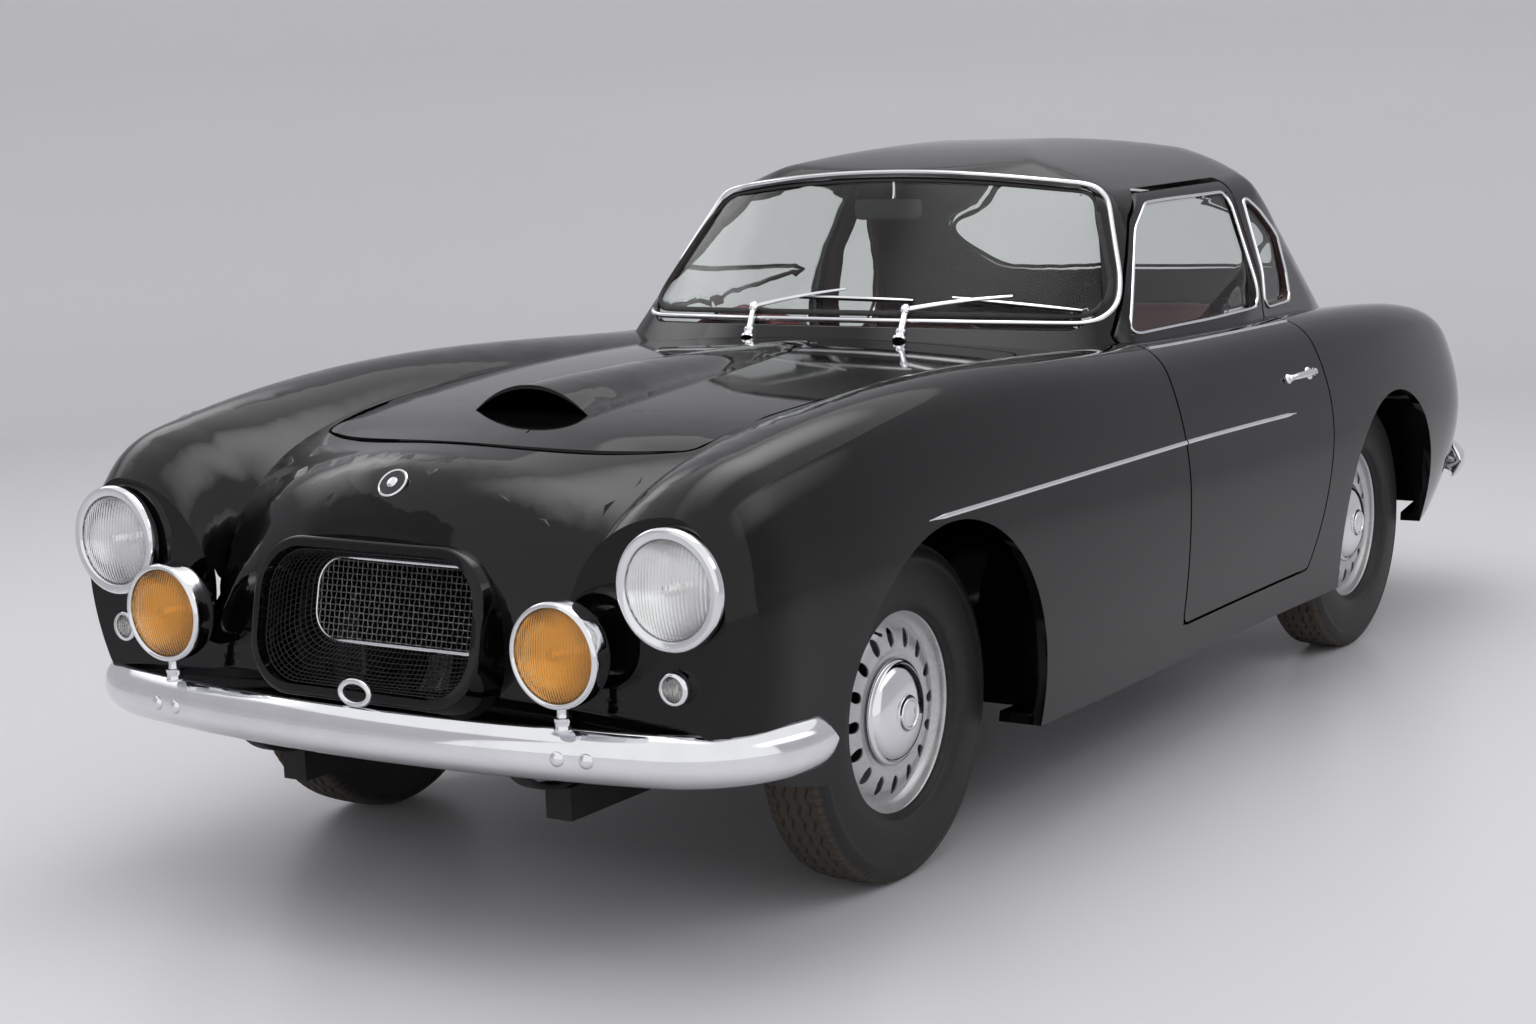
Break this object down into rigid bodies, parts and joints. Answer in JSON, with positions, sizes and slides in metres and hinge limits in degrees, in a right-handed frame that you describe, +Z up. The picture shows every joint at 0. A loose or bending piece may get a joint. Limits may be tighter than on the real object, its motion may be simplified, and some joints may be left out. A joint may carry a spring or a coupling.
{
  "type": "two-door coupe car",
  "caption": "Classic two-door coupe with a rounded steel body, opening doors, bonnet and boot, a bonnet scoop, steerable front wheels and a trimmed cabin.",
  "frame": {"origin": "on the ground under the middle of the overall length, on the centre line", "axes": "+X towards the nose, +Y towards the car's left side, +Z up"},
  "size_m": [4.35, 1.729, 1.4239],
  "materials": {
    "black_paint": "polished black coach paint",
    "dark_steel": "satin black chassis paint",
    "cast_engine": "plain casting",
    "chrome": "polished plating",
    "clear_glass": "clear glass",
    "red_leather": "dark red hide with pleats",
    "tyre_rubber": "black rubber",
    "silver_paint": "silver wheel paint",
    "aluminised_steel": "dull steel",
    "cream_plastic": "black moulded rim"
  },
  "bodies": {
    "body": {"front_body": "black_paint", "rear_body": "black_paint", "floor_and_sills": "black_paint", "roof": "black_paint", "chassis_frame": "dark_steel", "engine": "cast_engine", "grille": "chrome", "front_bumper": "chrome", "rear_bumper": "chrome", "headlamps": "chrome", "fog_lamps": "chrome", "side_lamps": "chrome", "tail_lamps": "chrome", "lamp_lenses": "clear_glass", "small_lenses": "clear_glass", "windscreen": "clear_glass", "rear_window": "clear_glass", "quarter_windows": "clear_glass", "dashboard": "red_leather", "front_seats": "red_leather", "seat_frames": "dark_steel", "rear_seat": "red_leather", "mirror": "chrome", "front_suspension": "dark_steel", "rear_axle": "dark_steel", "exhaust": "aluminised_steel", "fuel_tank": "dark_steel", "steering_column": "dark_steel"},
    "steering_hand_wheel": {"steering_wheel": "cream_plastic"},
    "knuckle_left": {"knuckle_left": "dark_steel"},
    "knuckle_right": {"knuckle_right": "dark_steel"},
    "front_wheel_left": {"tyre_front_left": "tyre_rubber", "wheel_front_left": "silver_paint", "hubcap_front_left": "chrome"},
    "front_wheel_right": {"tyre_front_right": "tyre_rubber", "wheel_front_right": "silver_paint", "hubcap_front_right": "chrome"},
    "rear_wheel_left": {"tyre_rear_left": "tyre_rubber", "wheel_rear_left": "silver_paint", "hubcap_rear_left": "chrome"},
    "rear_wheel_right": {"tyre_rear_right": "tyre_rubber", "wheel_rear_right": "silver_paint", "hubcap_rear_right": "chrome"},
    "bonnet": {"bonnet": "black_paint"},
    "boot_lid": {"boot_lid": "black_paint"},
    "door_left": {"door_left": "black_paint", "door_glass_left": "clear_glass"},
    "door_right": {"door_right": "black_paint", "door_glass_right": "clear_glass"}
  },
  "joints": [
    {"name": "steer_left", "type": "hinge", "parent": "body", "child": "knuckle_left", "pos_m": [1.334, 0.578, 0.343], "axis": [0, 0, 1], "range_deg": [-32, 32]},
    {"name": "steer_right", "type": "hinge", "parent": "body", "child": "knuckle_right", "pos_m": [1.334, -0.578, 0.343], "axis": [0, 0, 1], "range_deg": [-32, 32]},
    {"name": "steering_wheel_turn", "type": "hinge", "parent": "body", "child": "steering_hand_wheel", "pos_m": [-0.025, -0.35, 0.838], "axis": [-0.8829, 0, 0.4695], "range_deg": [-520, 520]},
    {"name": "front_left_spin", "type": "hinge", "parent": "knuckle_left", "child": "front_wheel_left", "pos_m": [1.334, 0.66, 0.343], "axis": [0, 1, 0], "continuous": true},
    {"name": "front_right_spin", "type": "hinge", "parent": "knuckle_right", "child": "front_wheel_right", "pos_m": [1.334, -0.66, 0.343], "axis": [0, 1, 0], "continuous": true},
    {"name": "rear_left_spin", "type": "hinge", "parent": "body", "child": "rear_wheel_left", "pos_m": [-1.104, 0.675, 0.343], "axis": [0, 1, 0], "continuous": true},
    {"name": "rear_right_spin", "type": "hinge", "parent": "body", "child": "rear_wheel_right", "pos_m": [-1.104, -0.675, 0.343], "axis": [0, 1, 0], "continuous": true},
    {"name": "door_left_swing", "type": "hinge", "parent": "body", "child": "door_left", "pos_m": [0.305, 0.85, 0.6], "axis": [0, 0, -1], "range_deg": [0, 62]},
    {"name": "door_right_swing", "type": "hinge", "parent": "body", "child": "door_right", "pos_m": [0.305, -0.85, 0.6], "axis": [0, 0, 1], "range_deg": [0, 62]},
    {"name": "bonnet_lift", "type": "hinge", "parent": "body", "child": "bonnet", "pos_m": [0.385, 0, 0.97], "axis": [0, -1, 0], "range_deg": [0, 48]},
    {"name": "boot_lift", "type": "hinge", "parent": "body", "child": "boot_lid", "pos_m": [-1.545, 0, 0.868], "axis": [0, 1, 0], "range_deg": [0, 60]}
  ],
  "couplings": [
    {"joint": "steer_right", "follows": "steer_left", "ratio": 1},
    {"joint": "steering_wheel_turn", "follows": "steer_left", "ratio": 16}
  ]
}
